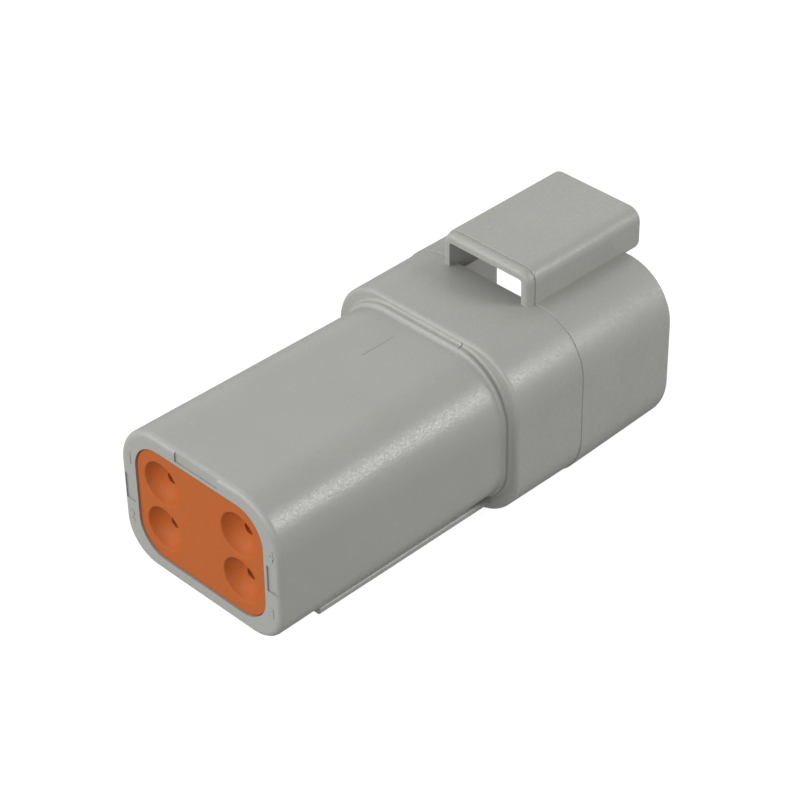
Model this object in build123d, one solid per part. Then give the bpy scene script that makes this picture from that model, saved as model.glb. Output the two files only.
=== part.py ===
"""Four-way sealed in-line connector, the receptacle half, with round pins.

X runs along the connector: the wires enter at the low end, and the mating shroud opens at the
high end. Z is up, towards the latch loop, and Y is across. The origin is on the surface that the
shroud stands on, midway along the whole length. All sizes are in millimetres.
"""
import os
from math import sqrt

from build123d import *

# Whole connector
overall_length = 48.65
axis_height = 9.2
overrun = 1.0

# Contact grid, seen from the wire side: two columns far apart and two rows close together
column_pitch = 9.53
row_pitch = 4.76

# Rear body of the housing, which holds the wire seal
body_length = 25.97
body_width = 19.56
body_height = 14.3
body_top_corner = 4.6
body_low_corner = 3.7
body_shoulder_corner = 5.5
body_shoulder_low_corner = 4.3
body_side_draft = 0.015
body_top_draft = 0.045
rim_edge_radius = 0.52

# Shoulder ring between the rear body and the shroud
ring_side_height = 0.24
ring_top_height = 0.3
ring_slope_length = 0.3
ring_length = 0.66
ring_edge_radius = 0.22
ring_crease_radius = 0.3
shoulder_crease_radius = 0.28

# Front shroud, which takes the mating plug
shroud_mouth_from_rear = 46.62
shroud_width = 22.14
shroud_top = 8.21
shroud_top_corner = 5.2
shroud_low_corner = 5.5
shroud_mouth_low_corner = 6.0
shroud_wall = 1.1
shroud_draft = 0.06
shroud_rear_draft = 0.02
shroud_rear_edge_radius = 0.36
shroud_mouth_edge_radius = 0.25
shroud_cavity_depth = 17.6
mouth_lead_in = 0.35
mouth_lead_in_depth = 0.6
parting_from_rear = 34.9
parting_step = 0.075
parting_edge_radius = 0.05
underside_trim = 0.005

# Latch loop over the shroud, open at both ends
loop_from_rear = 34.03
loop_width = 10.6
loop_top = 11.6
loop_foot = 7.8
loop_corner = 1.3
loop_nose_edge_radius = 0.22
loop_nose_radius = 0.6
collar_inset = 0.12
collar_edge_radius = 0.5
channel_width = 8.66
channel_top = 10.6
channel_corner = 0.25

# Dovetail rails under the rear body, for a mounting clip
rail_from_rear = 5.92
rail_width = 15.7
rail_drop = 7.9
rail_edge_height = 0.62
rail_root_width = 13.2
rail_root_drop = 6.95
rail_root_setback = 1.8
rail_edge_radius = 0.25
rail_channel_width = 9.2

# Shallow recesses in the rim round the wire seal
recess_depth = 0.15
top_recess_length = 5.2
top_recess_width = 1.2
top_recess_lip = 0.32
side_recess_length = 2.7
side_recess_width = 1.2
side_recess_lip = 0.3

# Index line on top of the rear body
index_line_from_rear = 20.04
index_line_length = 3.8
index_line_width = 0.1
index_line_height = 0.03
index_line_offset = 1.15

# Witness line of a mould insert across the shoulder
witness_width = 0.1
witness_depth = 0.04
witness_offset = 4.4

# Pocket for the wire seal
pocket_depth = 9.7
pocket_wall_side = 1.88
pocket_wall_top = 1.425
pocket_corner = 3.05

# Wire seal, a moulded silicone block with ribs round its outside and in each wire hole
seal_inset = 0.16
seal_gap_to_floor = 0.2
seal_face_clearance = 0.035
seal_rib_clearance = 0.02
seal_corner = 3.0
seal_face_length = 1.7
seal_groove_depth = 0.35
seal_rib_count = 3
seal_rib_length = 1.0
seal_edge_radius = 0.15
dish_radius = 2.12
dish_depth = 1.3
dish_lip_radius = 0.15
wire_rib_radius = 0.58
wire_groove_radius = 1.0
wire_rib_count = 3
wire_rib_land_share = 0.13
wire_rib_ramp_share = 0.22
wire_mouth_radius = 1.25

# Contact cavities in the housing
cavity_radius = 1.6
guide_radius = 1.13

# Tower on the shroud's floor, which carries the front guides of the contacts
tower_length = 3.7
tower_width = 15.0
tower_height = 9.4
tower_corner = 1.6
tower_edge_radius = 0.25

# Retention fingers beside the central slot of the tower
slot_width = 4.7
slot_height = 7.7
slot_from_rear = 20.6
finger_height = 2.6
finger_slit = 0.45
finger_tip_gap = 1.0
hook_length = 0.9
hook_reach = 0.36
hook_clearance = 0.1

# Keying ribs inside the shroud's lower wall
key_width = 1.2
key_height = 0.5
key_spacing = 7.0
key_setback = 5.0

# Secondary lock: a wedge with a face plate, a spine and two guide arms
wedge_clearance = 0.1
wedge_plate_thickness = 1.6
wedge_plate_width = 15.2
wedge_plate_height = 9.6
wedge_plate_corner = 1.8
wedge_edge_radius = 0.3
wedge_hole_radius = 1.2
wedge_hole_chamfer = 0.35
wedge_seat_gap = 0.12
wedge_spine_taper = 0.25
wedge_tip_clearance = 0.6
arm_length = 3.0
arm_thickness = 0.9
arm_height = 4.3
tool_pocket_width = 1.9
tool_pocket_height = 4.4
tool_pocket_depth = 2.4
tool_undercut_depth = 0.9
tool_undercut_length = 1.0

# Pin contacts, turned from solid bar
pin_radius = 0.79
pin_tip_from_rear = 39.85
pin_tip_length = 0.75
pin_tip_flat_share = 0.3
pin_root_radius = 1.03
pin_root_from_rear = 34.6
pin_root_chamfer = 0.2
flange_radius = 1.5
flange_length = 1.0
neck_radius = 1.1
barrel_radius = 1.27
barrel_length = 7.0
barrel_from_rear = 10.7
barrel_chamfer = 0.15
well_radius = 0.87
well_depth = 6.3
sight_hole_radius = 0.45

# Stations along X
rear_x = -overall_length / 2
loop_nose_x = overall_length / 2
shoulder_x = rear_x + body_length
shroud_rear_x = shoulder_x + ring_length
parting_x = rear_x + parting_from_rear
mouth_x = rear_x + shroud_mouth_from_rear
floor_x = mouth_x - shroud_cavity_depth
loop_x = rear_x + loop_from_rear
tower_x = floor_x + tower_length
pocket_floor_x = rear_x + pocket_depth
slot_x = rear_x + slot_from_rear

# Flange of each contact, caught between the hook of its finger and the step of its cavity
finger_end_x = floor_x - finger_tip_gap - (flange_length + 2 * hook_clearance)
flange_x = finger_end_x + hook_clearance
cavity_step_x = flange_x + flange_length + hook_clearance

# Heights above the standing surface
axis_z = axis_height
body_top_z = axis_z + body_height / 2
body_bottom_z = axis_z - body_height / 2
shroud_top_z = axis_z + shroud_top
inner_top_z = shroud_top_z - shroud_wall
inner_bottom_z = shroud_wall
loop_top_z = axis_z + loop_top
channel_top_z = axis_z + channel_top

# Widths worked out from the walls
inner_width = shroud_width - 2 * shroud_wall
inner_top_corner = shroud_top_corner - shroud_wall
inner_low_corner = shroud_low_corner - shroud_wall
pocket_width = body_width - 2 * pocket_wall_side
pocket_height = body_height - 2 * pocket_wall_top

contact_places = [
    (column_pitch / 2, row_pitch / 2),
    (column_pitch / 2, -row_pitch / 2),
    (-column_pitch / 2, -row_pitch / 2),
    (-column_pitch / 2, row_pitch / 2),
]


def section(x, width, top, bottom, top_corner, low_corner):
    """Rounded rectangle across the connector at one station, between two heights."""
    plane = Plane(origin=(x, 0, (top + bottom) / 2), x_dir=(0, 1, 0), z_dir=(1, 0, 0))
    outline = Rectangle(width, top - bottom)
    outline = fillet(outline.vertices().sort_by(Axis.Y)[2:], top_corner)
    outline = fillet(outline.vertices().sort_by(Axis.Y)[:2], low_corner)
    return plane * outline


def centred_section(x, width, height, top_corner, low_corner=None):
    """Rounded rectangle about the axis of the contact grid."""
    if low_corner is None:
        low_corner = top_corner
    return section(x, width, axis_z + height / 2, axis_z - height / 2, top_corner, low_corner)


def block(x_low, x_high, y_low, y_high, z_low, z_high):
    """Box between two corners."""
    corner = Pos((x_low + x_high) / 2, (y_low + y_high) / 2, (z_low + z_high) / 2)
    return corner * Box(x_high - x_low, y_high - y_low, z_high - z_low)


def rod(x_low, x_high, y, z, radius):
    """Round bar along X."""
    plane = Plane(origin=(x_low, y, z), x_dir=(0, 1, 0), z_dir=(1, 0, 0))
    return extrude(plane * Circle(radius), amount=x_high - x_low)


def end_edges(solid, at_high_end):
    """Edges of the flat face at one end of a solid along X."""
    faces = solid.faces().sort_by(Axis.X)
    return (faces[-1] if at_high_end else faces[0]).edges()


def lengthwise_edges(solid, z_low, z_high):
    """Straight edges along X whose height lies between two values."""
    edges = solid.edges().filter_by(Axis.X)
    return edges.filter_by_position(Axis.Z, z_low, z_high)


def edges_across(solid, x, width=None):
    """Edges that run round a solid at one station, and inside one width where it is given."""
    near = ring_slope_length / 10
    edges = solid.edges().filter_by_position(Axis.X, x - near, x + near)
    if width is None:
        return edges
    return [edge for edge in edges if edge.bounding_box().max.Y < width / 2 + near
            and edge.bounding_box().min.Y > -width / 2 - near]


def rear_body():
    """Outer block of the wire end, with the ring of the shoulder, blended by a soft crease."""
    rear = centred_section(rear_x, body_width, body_height, body_top_corner, body_low_corner)
    shoulder_width = body_width + 2 * body_side_draft
    shoulder_height = body_height + 2 * body_top_draft
    top_corner = body_shoulder_corner
    low_corner = body_shoulder_low_corner
    front = centred_section(
        shoulder_x + overrun / 2, shoulder_width, shoulder_height, top_corner, low_corner
    )
    body = loft([rear, front], ruled=True)
    body = fillet(end_edges(body, False), rim_edge_radius)
    crest_x = shoulder_x + ring_slope_length / 2
    foot_x = shoulder_x - ring_slope_length / 2
    sunk = ring_side_height / 10
    foot = centred_section(
        foot_x, shoulder_width - 2 * sunk, shoulder_height - 2 * sunk, top_corner, low_corner
    )
    crest = centred_section(
        crest_x,
        shoulder_width + 2 * ring_side_height,
        shoulder_height + 2 * ring_top_height,
        top_corner + ring_side_height,
        low_corner + ring_side_height,
    )
    ring = loft([foot, crest], ruled=True) + extrude(crest, amount=ring_length + overrun)
    ring = fillet(edges_across(ring, crest_x), ring_edge_radius)
    body = body + ring
    return fillet(edges_across(body, foot_x + sunk / 2), ring_crease_radius)


def shroud_shell():
    """Outside of the shroud: two mould halves that meet at the parting line with a tiny step."""
    step = parting_step
    inset = parting_step + shroud_rear_draft
    rear_half = loft(
        [
            section(
                shroud_rear_x,
                shroud_width - 2 * inset,
                shroud_top_z - inset,
                inset,
                shroud_top_corner,
                shroud_low_corner,
            ),
            section(
                parting_x,
                shroud_width - 2 * step,
                shroud_top_z - step,
                step,
                shroud_top_corner,
                shroud_low_corner,
            ),
        ],
        ruled=True,
    )
    rear_half = fillet(end_edges(rear_half, False), shroud_rear_edge_radius)
    front_half = loft(
        [
            section(
                parting_x,
                shroud_width,
                shroud_top_z,
                -underside_trim,
                shroud_top_corner,
                shroud_low_corner,
            ),
            section(
                mouth_x,
                shroud_width - 2 * shroud_draft,
                shroud_top_z - shroud_draft,
                -underside_trim,
                shroud_top_corner,
                shroud_mouth_low_corner,
            ),
        ],
        ruled=True,
    )
    front_half = fillet(end_edges(front_half, True), shroud_mouth_edge_radius)
    front_half = fillet(end_edges(front_half, False), parting_edge_radius)
    below = block(parting_x - overrun, mouth_x + overrun, -shroud_width, shroud_width, -overrun, 0)
    return rear_half + (front_half - below)


def latch_loop():
    """Rounded box over the shroud; its collar behind the parting line is a shade smaller."""
    half = loop_width / 2
    foot_z = axis_z + loop_foot
    arch = block(parting_x, loop_nose_x, -half, half, foot_z, loop_top_z)
    arch = fillet(lengthwise_edges(arch, loop_top_z - overrun / 2, loop_top_z), loop_corner)
    nose = arch.faces().sort_by(Axis.X)[-1]
    nose_bottom = nose.edges().sort_by(Axis.Z)[0]
    arch = fillet(nose_bottom, loop_nose_radius)
    nose_edges = arch.faces().sort_by(Axis.X)[-1].edges()
    nose_edges = nose_edges.filter_by_position(
        Axis.Z, foot_z + loop_nose_radius + parting_step, loop_top_z
    )
    arch = fillet(nose_edges, loop_nose_edge_radius)
    rear_edges = arch.faces().sort_by(Axis.X)[0].edges()
    rear_edges = rear_edges.filter_by_position(Axis.Z, foot_z + parting_step, loop_top_z)
    arch = fillet(rear_edges, parting_edge_radius)

    collar_half = half - collar_inset
    collar_top_z = loop_top_z - collar_inset
    collar = block(loop_x, parting_x, -collar_half, collar_half, foot_z, collar_top_z)
    collar_corners = lengthwise_edges(collar, collar_top_z - overrun / 2, collar_top_z)
    collar = fillet(collar_corners, loop_corner - collar_inset)
    collar_edges = collar.faces().sort_by(Axis.X)[0].edges()
    collar_edges = collar_edges.filter_by_position(Axis.Z, foot_z + parting_step, collar_top_z)
    collar = fillet(collar_edges, collar_edge_radius)
    window = block(
        loop_x - overrun,
        parting_x + overrun,
        -channel_width / 2,
        channel_width / 2,
        foot_z - overrun,
        channel_top_z,
    )
    window_corners = lengthwise_edges(window, channel_top_z - overrun / 2, channel_top_z)
    window = fillet(window_corners, channel_corner)
    return arch + (collar - window)


def clip_rails():
    """Two dovetail rails under the rear body, with an open channel between them."""
    rail_start_x = rear_x + rail_from_rear
    outer = rail_width / 2
    root = rail_root_width / 2
    inner = rail_channel_width / 2
    bottom = axis_z - rail_drop
    root_z = axis_z - rail_root_drop
    buried = body_bottom_z + overrun
    rail_end_x = shroud_rear_x + overrun / 2
    profile = Plane(origin=(rail_start_x, 0, 0), x_dir=(0, 1, 0), z_dir=(1, 0, 0)) * make_face(
        Polyline(
            (inner, buried),
            (root - rail_root_setback, buried),
            (root, root_z),
            (outer, bottom + rail_edge_height),
            (outer, bottom),
            (inner, bottom),
            close=True,
        )
    )
    rail = extrude(profile, amount=rail_end_x - rail_start_x)
    outer_edges = rail.edges().filter_by_position(Axis.Y, outer - overrun / 100, outer + overrun)
    rail = fillet(outer_edges, rail_edge_radius)
    return rail + mirror(rail, Plane.XZ)


def contact_tower():
    """Block on the shroud's floor, with a channel in each side for an arm of the wedge."""
    tower_face = centred_section(floor_x - overrun, tower_width, tower_height, tower_corner)
    tower = extrude(tower_face, amount=tower_length + overrun)
    tower = fillet(end_edges(tower, True), tower_edge_radius)
    arm_channel_depth = arm_thickness + wedge_clearance
    arm_channel_half = arm_height / 2 + wedge_clearance
    arm_channel_x = tower_x - arm_length - wedge_clearance
    for side in (1, -1):
        inner_y = side * (tower_width / 2 - arm_channel_depth)
        outer_y = side * (tower_width / 2 + overrun)
        tower -= block(
            arm_channel_x,
            tower_x + overrun,
            min(inner_y, outer_y),
            max(inner_y, outer_y),
            axis_z - arm_channel_half,
            axis_z + arm_channel_half,
        )
    return tower


def cavity_space(y, z):
    """Space for one contact: a wide bore from the seal pocket and a narrow guide in front."""
    wide = rod(pocket_floor_x - overrun, cavity_step_x, y, z, cavity_radius)
    guide = rod(cavity_step_x - overrun, tower_x + overrun, y, z, guide_radius)
    return wide + guide


def finger_space(y_side, z):
    """Slits that free one finger, and the gap at its tip that lets it flex."""
    slot_half = slot_width / 2
    reach = column_pitch / 2 - cavity_radius / 2
    low_y = min(y_side * (slot_half - overrun / 2), y_side * reach)
    high_y = max(y_side * (slot_half - overrun / 2), y_side * reach)
    slits = []
    for edge_sign in (1, -1):
        inner_z = z + edge_sign * finger_height / 2
        outer_z = inner_z + edge_sign * finger_slit
        slits.append(
            block(slot_x, cavity_step_x, low_y, high_y, min(inner_z, outer_z), max(inner_z, outer_z))
        )
    half = finger_height / 2
    slits.append(block(finger_end_x, cavity_step_x, low_y, high_y, z - half, z + half))
    return slits


def finger_hook(y_side, z):
    """Ramped hook at the end of a finger: it reaches behind the flange of the contact."""
    wall_y = column_pitch / 2 - cavity_radius
    tip_y = wall_y + hook_reach
    root_y = slot_width / 2 + wedge_clearance
    half = finger_height / 2
    plane = Plane(origin=(0, 0, z - half), x_dir=(1, 0, 0), z_dir=(0, 0, 1))
    profile = plane * make_face(
        Polyline(
            (finger_end_x - 2 * hook_length, y_side * root_y),
            (finger_end_x, y_side * root_y),
            (finger_end_x, y_side * tip_y),
            (finger_end_x - hook_length / 3, y_side * tip_y),
            (finger_end_x - 2 * hook_length, y_side * wall_y),
            close=True,
        )
    )
    return extrude(profile, amount=finger_height, dir=(0, 0, 1))


def rim_recess(y_centre, z_centre, y_size, z_size):
    """Shallow recess in the flat rim."""
    return block(
        rear_x - overrun,
        rear_x + recess_depth,
        y_centre - y_size / 2,
        y_centre + y_size / 2,
        z_centre - z_size / 2,
        z_centre + z_size / 2,
    )


def housing():
    """One moulding: rear body, shroud, latch loop, rails, seal pocket, cavities and fingers."""
    shell = rear_body() + shroud_shell()
    ring_width = body_width + 2 * (body_side_draft + ring_side_height)
    shell = fillet(edges_across(shell, shroud_rear_x, ring_width), shoulder_crease_radius)
    shell = shell + latch_loop() + clip_rails()

    # The mating space, its lead-in, and the latch channel through the top wall
    cavity_face = section(
        floor_x, inner_width, inner_top_z, inner_bottom_z, inner_top_corner, inner_low_corner
    )
    cavity = extrude(cavity_face, amount=shroud_cavity_depth + overrun)
    lead_in = loft(
        [
            section(
                mouth_x - mouth_lead_in_depth,
                inner_width,
                inner_top_z,
                inner_bottom_z,
                inner_top_corner,
                inner_low_corner,
            ),
            section(
                mouth_x,
                inner_width + 2 * mouth_lead_in,
                inner_top_z + mouth_lead_in,
                inner_bottom_z - mouth_lead_in,
                inner_top_corner + mouth_lead_in,
                inner_low_corner + mouth_lead_in,
            ),
        ],
        ruled=True,
    )
    channel = block(
        parting_x, loop_nose_x + overrun, -channel_width / 2, channel_width / 2, axis_z, channel_top_z
    )
    channel_corners = lengthwise_edges(channel, channel_top_z - overrun / 2, channel_top_z)
    channel = fillet(channel_corners, channel_corner)
    shell = shell - cavity - lead_in - channel

    # The tower and the keying ribs stand inside the mating space
    shell += contact_tower()
    for side in (1, -1):
        key_y = side * key_spacing / 2
        shell += block(
            floor_x - overrun,
            mouth_x - key_setback,
            key_y - key_width / 2,
            key_y + key_width / 2,
            inner_bottom_z - shroud_wall / 2,
            inner_bottom_z + key_height,
        )

    # The seal pocket, with a rounded edge at the rim
    pocket = extrude(
        centred_section(rear_x - overrun, pocket_width, pocket_height, pocket_corner),
        amount=pocket_depth + overrun,
    )
    shell -= pocket

    # The contact cavities, the central slot and the fingers beside it
    for y, z_offset in contact_places:
        shell -= cavity_space(y, axis_z + z_offset)
    shell -= block(
        slot_x,
        tower_x + overrun,
        -slot_width / 2,
        slot_width / 2,
        axis_z - slot_height / 2,
        axis_z + slot_height / 2,
    )
    for y, z_offset in contact_places:
        side = 1 if y > 0 else -1
        for space in finger_space(side, axis_z + z_offset):
            shell -= space
    for y, z_offset in contact_places:
        side = 1 if y > 0 else -1
        shell += finger_hook(side, axis_z + z_offset)

    # Marks on the outside: rim recesses, index line and witness line
    top_centre = axis_z + pocket_height / 2 + top_recess_lip + top_recess_width / 2
    shell -= rim_recess(0, top_centre, top_recess_length, top_recess_width)
    side_centre = pocket_width / 2 + side_recess_lip + side_recess_width / 2
    for side in (1, -1):
        shell -= rim_recess(side * side_centre, axis_z, side_recess_width, side_recess_length)
    ring_top_z = body_top_z + body_top_draft + ring_top_height
    witness_low = -witness_offset - witness_width / 2
    witness_high = -witness_offset + witness_width / 2
    shell -= block(
        shoulder_x - overrun,
        shroud_rear_x + witness_depth,
        witness_low,
        witness_high,
        ring_top_z - witness_depth,
        shroud_top_z + overrun,
    )
    index_x = rear_x + index_line_from_rear
    draft_share = (index_line_from_rear + index_line_length / 2) / body_length
    index_z = body_top_z + body_top_draft * draft_share
    shell += block(
        index_x,
        index_x + index_line_length,
        index_line_offset - index_line_width / 2,
        index_line_offset + index_line_width / 2,
        index_z - index_line_height,
        index_z + index_line_height,
    )
    return shell


def wire_hole(y, z, x_low, x_high):
    """Wire hole of the seal: a thin lip at its mouth, two more inside, and a wide front end.

    Each groove opens fast behind its lip and narrows slowly towards the next one.
    """
    pitch = (x_high - x_low) / wire_rib_count
    land = pitch * wire_rib_land_share
    ramp = pitch * wire_rib_ramp_share
    points = [(x_low - overrun, 0), (x_low - overrun, wire_rib_radius)]
    for index in range(wire_rib_count):
        start = x_low + index * pitch
        points.append((start, wire_rib_radius))
        points.append((start + land, wire_rib_radius))
        points.append((start + land + ramp, wire_groove_radius))
    points.append((x_high, wire_mouth_radius))
    points.append((x_high + overrun, wire_mouth_radius))
    points.append((x_high + overrun, 0))
    profile = make_face(Polyline(*points, close=True))
    return Pos(0, y, z) * revolve(profile, Axis.X, 360)


def dish_space(y, z, face_x):
    """Round dish round one wire hole, with a soft lip where it meets the seal's face."""
    ball_radius = (dish_radius ** 2 + dish_depth ** 2) / (2 * dish_depth)
    rim_radius = dish_radius + 2 * dish_lip_radius
    outline = Polyline(
        (face_x + dish_depth, 0),
        (face_x - overrun, 0),
        (face_x - overrun, rim_radius),
        (face_x, rim_radius),
        (face_x, dish_radius),
    )
    bowl = RadiusArc((face_x, dish_radius), (face_x + dish_depth, 0), ball_radius)
    profile = make_face(Curve() + [outline, bowl])
    lip = profile.vertices().sort_by_distance((face_x, dish_radius, 0))[0]
    profile = fillet(lip, dish_lip_radius)
    return Pos(0, y, z) * revolve(profile, Axis.X, 360)


def rear_seal():
    """Silicone wire seal: a face land, ribs that press on the pocket, and four dished holes."""
    face_x = rear_x + seal_inset
    front_x = pocket_floor_x - seal_gap_to_floor
    face_width = pocket_width - 2 * seal_face_clearance
    face_height = pocket_height - 2 * seal_face_clearance
    rib_width = pocket_width - 2 * seal_rib_clearance
    rib_height = pocket_height - 2 * seal_rib_clearance
    core_width = rib_width - 2 * seal_groove_depth
    core_height = rib_height - 2 * seal_groove_depth
    core_corner = seal_corner - seal_groove_depth

    land_face = centred_section(face_x, face_width, face_height, seal_corner)
    land = extrude(land_face, amount=seal_face_length)
    land = fillet(end_edges(land, False), seal_edge_radius)
    core_x = face_x + seal_face_length
    core_face = centred_section(core_x, core_width, core_height, core_corner)
    core = extrude(core_face, amount=front_x - core_x)
    seal = land + core
    rib_space = (front_x - core_x) / seal_rib_count
    for index in range(seal_rib_count):
        rib_x = core_x + (index + 1) * rib_space - seal_rib_length
        rib_face = centred_section(rib_x, rib_width, rib_height, seal_corner)
        rib = extrude(rib_face, amount=seal_rib_length)
        rib = fillet(end_edges(rib, False) + end_edges(rib, True), seal_edge_radius)
        seal += rib

    for y, z_offset in contact_places:
        seal -= dish_space(y, axis_z + z_offset, face_x)
    for y, z_offset in contact_places:
        seal -= wire_hole(y, axis_z + z_offset, face_x + dish_depth, front_x)
    return seal


def wedge_lock():
    """Orange secondary lock: its spine stands behind the fingers, so they can't let go."""
    plate_x = tower_x + wedge_seat_gap
    front_x = plate_x + wedge_plate_thickness
    plate = extrude(
        centred_section(plate_x, wedge_plate_width, wedge_plate_height, wedge_plate_corner),
        amount=wedge_plate_thickness,
    )
    plate = fillet(end_edges(plate, True), wedge_edge_radius)

    spine_tip_x = slot_x + wedge_tip_clearance
    spine_width = slot_width - 2 * wedge_clearance
    spine_height = slot_height - 2 * wedge_clearance
    tip_face = Plane(origin=(spine_tip_x, 0, axis_z), x_dir=(0, 1, 0), z_dir=(1, 0, 0)) * Rectangle(
        spine_width - 2 * wedge_spine_taper, spine_height - 2 * wedge_spine_taper
    )
    root_plane = Plane(
        origin=(plate_x + wedge_edge_radius, 0, axis_z), x_dir=(0, 1, 0), z_dir=(1, 0, 0)
    )
    root_face = root_plane * Rectangle(spine_width, spine_height)
    wedge = plate + loft([tip_face, root_face], ruled=True)

    for side in (1, -1):
        outer_y = side * tower_width / 2
        inner_y = side * (tower_width / 2 - arm_thickness)
        wedge += block(
            tower_x - arm_length,
            plate_x + wedge_edge_radius,
            min(inner_y, outer_y),
            max(inner_y, outer_y),
            axis_z - arm_height / 2,
            axis_z + arm_height / 2,
        )

    for y, z_offset in contact_places:
        z = axis_z + z_offset
        wedge -= rod(plate_x - overrun, front_x + overrun, y, z, wedge_hole_radius)
        flare = Plane(origin=(front_x, y, z), x_dir=(0, 1, 0), z_dir=(-1, 0, 0))
        wedge -= extrude(
            flare * Circle(wedge_hole_radius + wedge_hole_chamfer), amount=wedge_hole_chamfer, taper=45
        )

    # Pocket for the removal hook, with an undercut to pull on
    pocket_back_x = front_x - tool_pocket_depth
    half_width = tool_pocket_width / 2
    half_height = tool_pocket_height / 2
    wedge -= block(
        pocket_back_x,
        front_x + overrun,
        -half_width,
        half_width,
        axis_z - half_height,
        axis_z + half_height,
    )
    wedge -= block(
        pocket_back_x,
        pocket_back_x + tool_undercut_length,
        -half_width,
        half_width,
        axis_z - half_height - tool_undercut_depth,
        axis_z + half_height + tool_undercut_depth,
    )
    return wedge


def pin_contact(y, z):
    """Turned pin contact: crimp barrel, neck, flange, root and rounded pin."""
    barrel_x = rear_x + barrel_from_rear
    barrel_end_x = barrel_x + barrel_length
    well_end_x = barrel_x + well_depth
    drill_point = well_radius / sqrt(3)
    flange_end_x = flange_x + flange_length
    root_end_x = rear_x + pin_root_from_rear
    tip_x = rear_x + pin_tip_from_rear
    tip_flat = pin_radius * pin_tip_flat_share
    outline = Polyline(
        (well_end_x + drill_point, 0),
        (well_end_x, well_radius),
        (barrel_x + barrel_chamfer, well_radius),
        (barrel_x, well_radius + barrel_chamfer),
        (barrel_x, barrel_radius - barrel_chamfer / 2),
        (barrel_x + barrel_chamfer / 2, barrel_radius),
        (barrel_end_x, barrel_radius),
        (barrel_end_x + barrel_chamfer, neck_radius),
        (flange_x, neck_radius),
        (flange_x, flange_radius),
        (flange_end_x, flange_radius),
        (flange_end_x, pin_root_radius),
        (root_end_x - pin_root_chamfer, pin_root_radius),
        (root_end_x, pin_radius),
        (tip_x - pin_tip_length, pin_radius),
    )
    nose = RadiusArc(outline @ 1, (tip_x, tip_flat), -pin_tip_length * 1.2)
    end = Polyline((tip_x, tip_flat), (tip_x, 0), outline @ 0)
    body = revolve(make_face(Curve() + [outline, nose, end]), Axis.X, 360)
    sight_x = well_end_x - sight_hole_radius * 2
    sight = Plane(origin=(sight_x, 0, 0), x_dir=(1, 0, 0), z_dir=(0, 0, 1)) * Circle(sight_hole_radius)
    body -= extrude(sight, amount=barrel_radius + overrun)
    return Pos(0, y, z) * body


nodes = {
    "housing": housing(),
    "rear_seal": rear_seal(),
    "wedge_lock": wedge_lock(),
}
for number, (place_y, place_z) in enumerate(contact_places, start=1):
    nodes[f"pin_contact_{number}"] = pin_contact(place_y, axis_z + place_z)

os.makedirs("parts", exist_ok=True)
for name, solid in nodes.items():
    export_step(solid, f"parts/{name}.step")
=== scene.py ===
from math import radians

import bpy
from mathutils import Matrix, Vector


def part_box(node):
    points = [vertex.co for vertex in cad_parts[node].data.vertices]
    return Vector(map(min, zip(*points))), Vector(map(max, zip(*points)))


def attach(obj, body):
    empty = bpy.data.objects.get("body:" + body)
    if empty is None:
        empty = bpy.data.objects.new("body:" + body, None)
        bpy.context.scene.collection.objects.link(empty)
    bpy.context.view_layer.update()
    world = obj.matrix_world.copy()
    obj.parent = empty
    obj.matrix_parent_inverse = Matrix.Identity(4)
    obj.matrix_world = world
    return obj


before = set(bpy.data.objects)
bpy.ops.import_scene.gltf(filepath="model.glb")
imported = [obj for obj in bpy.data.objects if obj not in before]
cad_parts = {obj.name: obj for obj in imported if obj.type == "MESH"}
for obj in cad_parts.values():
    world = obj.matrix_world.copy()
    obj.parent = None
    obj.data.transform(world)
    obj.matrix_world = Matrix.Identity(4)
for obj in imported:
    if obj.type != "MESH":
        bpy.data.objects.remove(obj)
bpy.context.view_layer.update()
MM = 0.001


# Housing: one glass-filled polyester moulding, light gray and satin. Its mould was spark eroded, so the
# skin has a very fine grain. Everything else is pushed into it: the seal from behind, and the contacts
# and the wedge from the two ends.
PLASTIC_GRAY = (0.336, 0.338, 0.314, 1)
DUST_COLOUR = (0.62, 0.6, 0.56, 1)
DUST_SCALE = 1700
DUST_FROM, DUST_TO = 0.72, 0.8
CLOUD_SCALE = 130
# Weight of the grain in the colour: it darkens the grain's pits, a painted shade
GRAIN_PIT_SHADE_WEIGHT = 1.4
NOISE_MIDDLE = 0.5
GRAZING_FROM, GRAZING_TO = 0.55, 0.85


def add_node(tree, kind, **settings):
    """One shader node, with its settings."""
    node = tree.nodes.new(kind)
    for name, value in settings.items():
        setattr(node, name, value)
    return node


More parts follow.
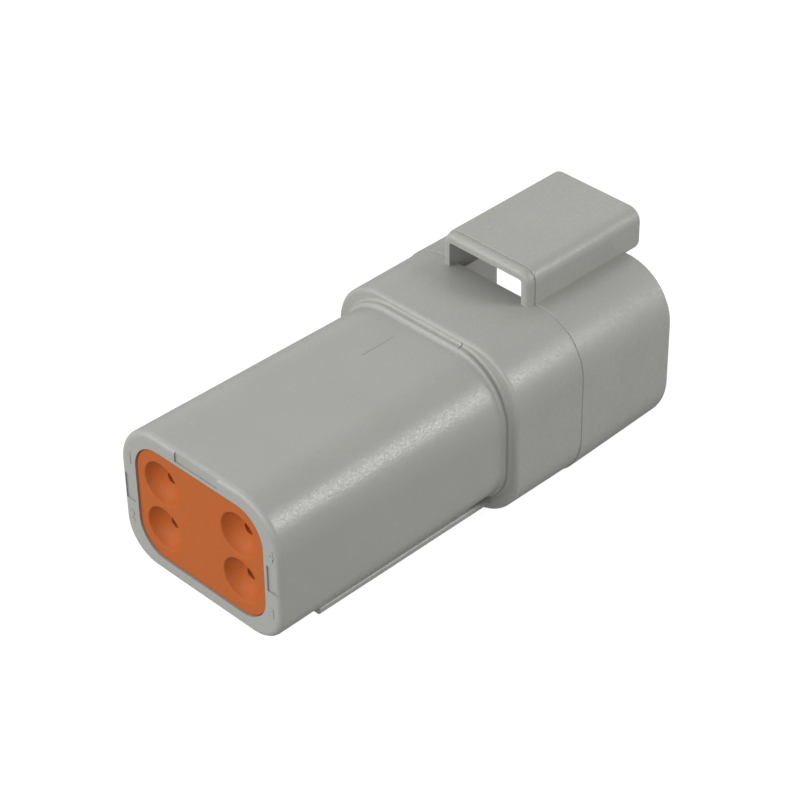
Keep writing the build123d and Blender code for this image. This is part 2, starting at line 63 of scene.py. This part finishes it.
def moulded_skin_group():
    """Skin of a moulded piece: fine grain with painted shade in its pits, a tone that wanders at random,
    and a few specks of dust.
    """
    group = bpy.data.node_groups.new("moulded_skin", "ShaderNodeTree")
    sockets = [
        ("Colour", "NodeSocketColor", (0.5, 0.5, 0.5, 1)),
        ("Shade Spread", "NodeSocketFloat", 0.06),
        ("Gloss Roughness", "NodeSocketFloat", 0.45),
        ("Roughness Spread", "NodeSocketFloat", 0.06),
        ("Grazing Roughness", "NodeSocketFloat", 0.2),
        ("Grain Scale", "NodeSocketFloat", 6000),
        ("Grain Depth", "NodeSocketFloat", 0.004 * MM),
        ("Dust", "NodeSocketFloat", 0.2),
    ]
    for name, kind, value in sockets:
        socket = group.interface.new_socket(name, in_out="INPUT", socket_type=kind)
        socket.default_value = value
    group.interface.new_socket("Colour", in_out="OUTPUT", socket_type="NodeSocketColor")
    group.interface.new_socket("Roughness", in_out="OUTPUT", socket_type="NodeSocketFloat")
    group.interface.new_socket("Normal", in_out="OUTPUT", socket_type="NodeSocketVector")
    given = add_node(group, "NodeGroupInput")
    result = add_node(group, "NodeGroupOutput")
    place = add_node(group, "ShaderNodeTexCoord")
    link = group.links.new

    cloud = add_node(group, "ShaderNodeTexNoise")
    cloud.inputs["Scale"].default_value = CLOUD_SCALE
    cloud.inputs["Detail"].default_value = 3
    link(place.outputs["Object"], cloud.inputs["Vector"])
    grain = add_node(group, "ShaderNodeTexNoise")
    grain.inputs["Detail"].default_value = 2
    grain.inputs["Roughness"].default_value = 0.6
    link(place.outputs["Object"], grain.inputs["Vector"])
    link(given.outputs["Grain Scale"], grain.inputs["Scale"])

    # The colour wanders a little at random with the cloud. The grain darkens its own pits, which is
    # painted shade in the pits. At the middle of both noises the colour stays as it is given.
    cloud_tone_and_pit_shade = add_node(group, "ShaderNodeMath", operation="MULTIPLY_ADD")
    cloud_tone_and_pit_shade.inputs[1].default_value = GRAIN_PIT_SHADE_WEIGHT
    link(grain.outputs["Fac"], cloud_tone_and_pit_shade.inputs[0])
    link(cloud.outputs["Fac"], cloud_tone_and_pit_shade.inputs[2])
    centred = add_node(group, "ShaderNodeMath", operation="SUBTRACT")
    centred.inputs[1].default_value = NOISE_MIDDLE * (1 + GRAIN_PIT_SHADE_WEIGHT)
    link(cloud_tone_and_pit_shade.outputs["Value"], centred.inputs[0])
    shade = add_node(group, "ShaderNodeMath", operation="MULTIPLY_ADD")
    shade.inputs[2].default_value = 1
    link(centred.outputs["Value"], shade.inputs[0])
    link(given.outputs["Shade Spread"], shade.inputs[1])
    tinted = add_node(group, "ShaderNodeVectorMath", operation="SCALE")
    link(given.outputs["Colour"], tinted.inputs[0])
    link(shade.outputs["Value"], tinted.inputs["Scale"])

    # Dust: sparse pale specks of a few tenths of a millimetre
    speck = add_node(group, "ShaderNodeTexNoise")
    speck.inputs["Scale"].default_value = DUST_SCALE
    speck.inputs["Detail"].default_value = 1
    link(place.outputs["Object"], speck.inputs["Vector"])
    sparse = add_node(group, "ShaderNodeMapRange")
    sparse.inputs["From Min"].default_value = DUST_FROM
    sparse.inputs["From Max"].default_value = DUST_TO
    link(speck.outputs["Fac"], sparse.inputs["Value"])
    amount = add_node(group, "ShaderNodeMath", operation="MULTIPLY")
    link(sparse.outputs["Result"], amount.inputs[0])
    link(given.outputs["Dust"], amount.inputs[1])
    dusty = add_node(group, "ShaderNodeMix", data_type="RGBA")
    dusty.inputs["B"].default_value = DUST_COLOUR
    link(amount.outputs["Value"], dusty.inputs["Factor"])
    link(tinted.outputs["Vector"], dusty.inputs["A"])
    link(dusty.outputs["Result"], result.inputs["Colour"])

    # The tops of the grain shine a little more than its pits, which makes highlights sparkle
    pits = add_node(group, "ShaderNodeMath", operation="SUBTRACT")
    pits.inputs[0].default_value = NOISE_MIDDLE
    link(grain.outputs["Fac"], pits.inputs[1])
    gloss = add_node(group, "ShaderNodeMath", operation="MULTIPLY_ADD")
    link(pits.outputs["Value"], gloss.inputs[0])
    link(given.outputs["Roughness Spread"], gloss.inputs[1])
    link(given.outputs["Gloss Roughness"], gloss.inputs[2])

    # Seen flat along the surface, the rough skin mirrors a lamp less sharply
    slope = add_node(group, "ShaderNodeLayerWeight")
    slope.inputs["Blend"].default_value = 0.5
    grazing = add_node(group, "ShaderNodeMapRange")
    grazing.inputs["From Min"].default_value = GRAZING_FROM
    grazing.inputs["From Max"].default_value = GRAZING_TO
    link(slope.outputs["Facing"], grazing.inputs["Value"])
    dulled = add_node(group, "ShaderNodeMath", operation="MULTIPLY_ADD")
    link(grazing.outputs["Result"], dulled.inputs[0])
    link(given.outputs["Grazing Roughness"], dulled.inputs[1])
    link(gloss.outputs["Value"], dulled.inputs[2])
    link(dulled.outputs["Value"], result.inputs["Roughness"])

    bump = add_node(group, "ShaderNodeBump")
    bump.inputs["Strength"].default_value = 1
    link(given.outputs["Grain Depth"], bump.inputs["Distance"])
    link(grain.outputs["Fac"], bump.inputs["Height"])
    link(bump.outputs["Normal"], result.inputs["Normal"])
    return group


def new_material(name):
    """Node material with its Principled shader."""
    material = bpy.data.materials.new(name)
    material.use_nodes = True
    return material, material.node_tree, material.node_tree.nodes["Principled BSDF"]


def moulded_material(name, colour, specular, **skin_values):
    """Moulded plastic or silicone: the shared skin with this material's own values."""
    material, tree, shader = new_material(name)
    skin = add_node(tree, "ShaderNodeGroup", node_tree=moulded_skin)
    skin.inputs["Colour"].default_value = colour
    for socket, value in skin_values.items():
        skin.inputs[socket.replace("_", " ").title()].default_value = value
    shader.inputs["Specular IOR Level"].default_value = specular
    tree.links.new(skin.outputs["Colour"], shader.inputs["Base Color"])
    tree.links.new(skin.outputs["Roughness"], shader.inputs["Roughness"])
    tree.links.new(skin.outputs["Normal"], shader.inputs["Normal"])
    return material


def duller_in_front(material, from_x, to_x, rise):
    """Let the roughness of a moulded material rise along the part, between two stations."""
    tree = material.node_tree
    shader = tree.nodes["Principled BSDF"]
    base = shader.inputs["Roughness"].links[0].from_socket
    place = add_node(tree, "ShaderNodeTexCoord")
    along = add_node(tree, "ShaderNodeSeparateXYZ")
    tree.links.new(place.outputs["Object"], along.inputs["Vector"])
    ramp = add_node(tree, "ShaderNodeMapRange")
    ramp.inputs["From Min"].default_value = from_x
    ramp.inputs["From Max"].default_value = to_x
    ramp.inputs["To Max"].default_value = rise
    tree.links.new(along.outputs["X"], ramp.inputs["Value"])
    total = add_node(tree, "ShaderNodeMath", operation="ADD")
    tree.links.new(base, total.inputs[0])
    tree.links.new(ramp.outputs["Result"], total.inputs[1])
    tree.links.new(total.outputs["Value"], shader.inputs["Roughness"])


def dress(node_name, material):
    """Give a CAD node its material."""
    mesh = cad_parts[node_name].data
    mesh.materials.clear()
    mesh.materials.append(material)


moulded_skin = moulded_skin_group()
gray_plastic = moulded_material(
    "gray_plastic",
    PLASTIC_GRAY,
    specular=0.5,
    shade_spread=0.14,
    gloss_roughness=0.36,
    roughness_spread=0.5,
    grazing_roughness=0.4,
    grain_scale=4400,
    grain_depth=0.015 * MM,
    dust=0.12,
)
duller_in_front(gray_plastic, from_x=0, to_x=18 * MM, rise=0.12)
dress("housing", gray_plastic)


# Cavity numbers: plain figures raised on the rim of the housing, one beside each wire hole. They come
# out of the same mould, so they are the same gray and stand only a few hundredths of a millimetre proud.
FIGURE_SIZE = 1.55 * MM
FIGURE_RISE = 0.05 * MM
FIGURE_EDGE = 0.015 * MM
FIGURE_SINK = 0.02 * MM
FIGURE_PLACES = {"1": (8.53, 12.4), "2": (8.85, 6.15), "3": (-8.55, 5.55), "4": (-8.8, 11.75)}

rim_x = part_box("housing")[0][0]
for figure, (across, height) in FIGURE_PLACES.items():
    bpy.ops.object.select_all(action="DESELECT")
    bpy.ops.object.text_add(
        location=(rim_x - FIGURE_RISE / 2 + FIGURE_SINK / 2, across * MM, height * MM),
        rotation=(radians(90), 0, radians(-90)),
    )
    number = bpy.context.object
    number.name = f"cavity_number_{figure}"
    number.data.body = figure
    number.data.size = FIGURE_SIZE
    number.data.extrude = (FIGURE_RISE + FIGURE_SINK) / 2 - FIGURE_EDGE
    number.data.bevel_depth = FIGURE_EDGE
    number.data.align_x = "CENTER"
    number.data.align_y = "CENTER"
    bpy.ops.object.convert(target="MESH")
    bpy.ops.object.transform_apply(location=True, rotation=True, scale=True)
    number.data.materials.clear()
    number.data.materials.append(gray_plastic)
    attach(number, "connector")


# Rear seal: one soft silicone block, orange, with a round dish and a ribbed hole for each wire. It is
# pressed into the pocket of the housing by hand and holds there by its ribs.
SILICONE_ORANGE = (0.448, 0.108, 0.021, 1)

orange_silicone = moulded_material(
    "orange_silicone",
    SILICONE_ORANGE,
    specular=0.16,
    shade_spread=0.12,
    gloss_roughness=0.5,
    roughness_spread=0.1,
    grain_scale=2600,
    grain_depth=0.004 * MM,
    dust=0.06,
)
dress("rear_seal", orange_silicone)


# Wedge lock: an orange thermoplastic moulding, a little glossier than the seal. It is pushed into the
# shroud from the front, between the fingers that hold the contacts.
PLASTIC_ORANGE = (0.5, 0.12, 0.022, 1)

orange_plastic = moulded_material(
    "orange_plastic",
    PLASTIC_ORANGE,
    specular=0.5,
    shade_spread=0.06,
    gloss_roughness=0.36,
    roughness_spread=0.08,
    grain_scale=5200,
    grain_depth=0.003 * MM,
    dust=0.1,
)
dress("wedge_lock", orange_plastic)


# Pin contacts: turned from copper alloy bar and nickel plated, so fine tool rings run round them. Each
# is crimped to its wire and pushed in from behind, until its finger snaps in behind its flange.
NICKEL_DARK = (0.66, 0.63, 0.57, 1)
NICKEL_PALE = (0.78, 0.76, 0.71, 1)
NICKEL_SHINY, NICKEL_DULL = 0.2, 0.36
PATCH_SCALE = 700
TOOL_RING_SCALE = 1300
TOOL_RING_DEPTH = 0.002 * MM


def plated_metal_material():
    """Nickel plate over turned rings, with patches that are a little duller."""
    material, tree, shader = new_material("contact_metal")
    shader.inputs["Metallic"].default_value = 1
    place = add_node(tree, "ShaderNodeTexCoord")
    patches = add_node(tree, "ShaderNodeTexNoise")
    patches.inputs["Scale"].default_value = PATCH_SCALE
    patches.inputs["Detail"].default_value = 3
    tree.links.new(place.outputs["Object"], patches.inputs["Vector"])
    tone = add_node(tree, "ShaderNodeMix", data_type="RGBA")
    tone.inputs["A"].default_value = NICKEL_DARK
    tone.inputs["B"].default_value = NICKEL_PALE
    tree.links.new(patches.outputs["Fac"], tone.inputs["Factor"])
    tree.links.new(tone.outputs["Result"], shader.inputs["Base Color"])
    dull = add_node(tree, "ShaderNodeMapRange")
    dull.inputs["To Min"].default_value = NICKEL_SHINY
    dull.inputs["To Max"].default_value = NICKEL_DULL
    tree.links.new(patches.outputs["Fac"], dull.inputs["Value"])
    tree.links.new(dull.outputs["Result"], shader.inputs["Roughness"])
    rings = add_node(tree, "ShaderNodeTexWave", wave_type="BANDS", bands_direction="X")
    rings.inputs["Scale"].default_value = TOOL_RING_SCALE
    rings.inputs["Distortion"].default_value = 0.6
    tree.links.new(place.outputs["Object"], rings.inputs["Vector"])
    bump = add_node(tree, "ShaderNodeBump")
    bump.inputs["Distance"].default_value = TOOL_RING_DEPTH
    tree.links.new(rings.outputs["Fac"], bump.inputs["Height"])
    tree.links.new(bump.outputs["Normal"], shader.inputs["Normal"])
    return material


contact_metal = plated_metal_material()
for cavity in (1, 2, 3, 4):
    dress(f"pin_contact_{cavity}", contact_metal)


# Stage: a pale matt floor under the part. The camera sees it as white paper, with the part's own soft
# shadow on it. Mirrored in the part it is dimmer, as the shaded paper close to the part is.
FLOOR_SIZE = 6
FLOOR_SHADE = (0.15, 0.15, 0.15, 1)
FLOOR_GLOW = 0.94
FLOOR_SHARE_IN_MIRRORS = 0.7


def background_rays(tree, share_in_mirrors):
    """1 for the camera's own rays, and a share of it for rays off a glossy or through a clear surface."""
    path = add_node(tree, "ShaderNodeLightPath")
    bent = add_node(tree, "ShaderNodeMath", operation="MAXIMUM")
    tree.links.new(path.outputs["Is Glossy Ray"], bent.inputs[0])
    tree.links.new(path.outputs["Is Transmission Ray"], bent.inputs[1])
    dimmed = add_node(tree, "ShaderNodeMath", operation="MULTIPLY")
    dimmed.inputs[1].default_value = share_in_mirrors
    tree.links.new(bent.outputs["Value"], dimmed.inputs[0])
    seen = add_node(tree, "ShaderNodeMath", operation="MAXIMUM")
    tree.links.new(path.outputs["Is Camera Ray"], seen.inputs[0])
    tree.links.new(dimmed.outputs["Value"], seen.inputs[1])
    return seen.outputs["Value"]


bpy.ops.object.select_all(action="DESELECT")
bpy.ops.mesh.primitive_plane_add(size=FLOOR_SIZE, location=(0, 0, 0))
floor = bpy.context.object
floor.name = "floor"
pale_floor, floor_tree, floor_shader = new_material("pale_floor")
floor_shader.inputs["Base Color"].default_value = FLOOR_SHADE
floor_shader.inputs["Roughness"].default_value = 0.9
floor_shader.inputs["Specular IOR Level"].default_value = 0.1
floor_shader.inputs["Emission Color"].default_value = (1, 1, 1, 1)
glow = add_node(floor_tree, "ShaderNodeMath", operation="MULTIPLY")
glow.inputs[1].default_value = FLOOR_GLOW
floor_tree.links.new(background_rays(floor_tree, FLOOR_SHARE_IN_MIRRORS), glow.inputs[0])
floor_tree.links.new(glow.outputs["Value"], floor_shader.inputs["Emission Strength"])
floor.data.materials.append(pale_floor)


# Light: an even pale studio, one soft lamp beyond the mating end that draws the bright line along the
# rounded corners, one wide low lamp behind that lights the wire end, one high up for the top, a weak one
# near the camera that keeps the shaded roundings open, and one in front of the mouth.
STUDIO_LEVEL = 0.27
LAMP_DISTANCE = 0.6
MIDDLE = Vector((0, 0, 9 * MM))

world = bpy.data.worlds.new("studio")
world.use_nodes = True
world_tree = world.node_tree
sky = world_tree.nodes["Background"]
sky.inputs["Color"].default_value = (1, 1, 1, 1)
level = add_node(world_tree, "ShaderNodeMapRange")
level.inputs["To Min"].default_value = STUDIO_LEVEL
level.inputs["To Max"].default_value = 1
world_tree.links.new(background_rays(world_tree, 1), level.inputs["Value"])
world_tree.links.new(level.outputs["Result"], sky.inputs["Strength"])
bpy.context.scene.world = world


def area_lamp(name, direction, width, height, energy):
    """Oblong soft lamp that stands in a direction from the part and looks at it."""
    towards = Vector(direction).normalized()
    turn = (-towards).to_track_quat("-Z", "Y").to_euler()
    bpy.ops.object.light_add(type="AREA", location=MIDDLE + towards * LAMP_DISTANCE, rotation=turn)
    lamp = bpy.context.object
    lamp.name = name
    lamp.data.shape = "RECTANGLE"
    lamp.data.size = width
    lamp.data.size_y = height
    lamp.data.energy = energy


area_lamp("corner_lamp", (0.51, -0.725, 0.463), width=0.23, height=0.23, energy=1.75)
area_lamp("rear_lamp", (-0.84, 0.3, 0.38), width=1.0, height=0.42, energy=4.1)
area_lamp("top_lamp", (0.05, 0.72, 0.75), width=0.45, height=0.45, energy=0.8)
area_lamp("fill_lamp", (-0.7, -0.7, 0.3), width=0.3, height=0.3, energy=0.45)
area_lamp("mouth_lamp", (0.85, 0.3, 0.22), width=0.25, height=0.25, energy=0.6)


# Camera: it stands where the photograph was taken from, behind the wire end, above it and to its right.
CAMERA_PLACE = (-130.901 * MM, -132.916 * MM, 147.993 * MM)
CAMERA_TURN = (radians(53.660), radians(0.840), radians(-44.790))
CAMERA_LENS = 119.376
CAMERA_SHIFT = (0.00866, -0.00968)

bpy.ops.object.camera_add(location=CAMERA_PLACE, rotation=CAMERA_TURN)
camera = bpy.context.object
camera.name = "camera"
camera.data.sensor_width = 36
camera.data.lens = CAMERA_LENS
camera.data.shift_x, camera.data.shift_y = CAMERA_SHIFT
camera.data.clip_start = 0.01
camera.data.clip_end = 20
bpy.context.scene.camera = camera
bpy.context.scene.view_settings.view_transform = "Standard"
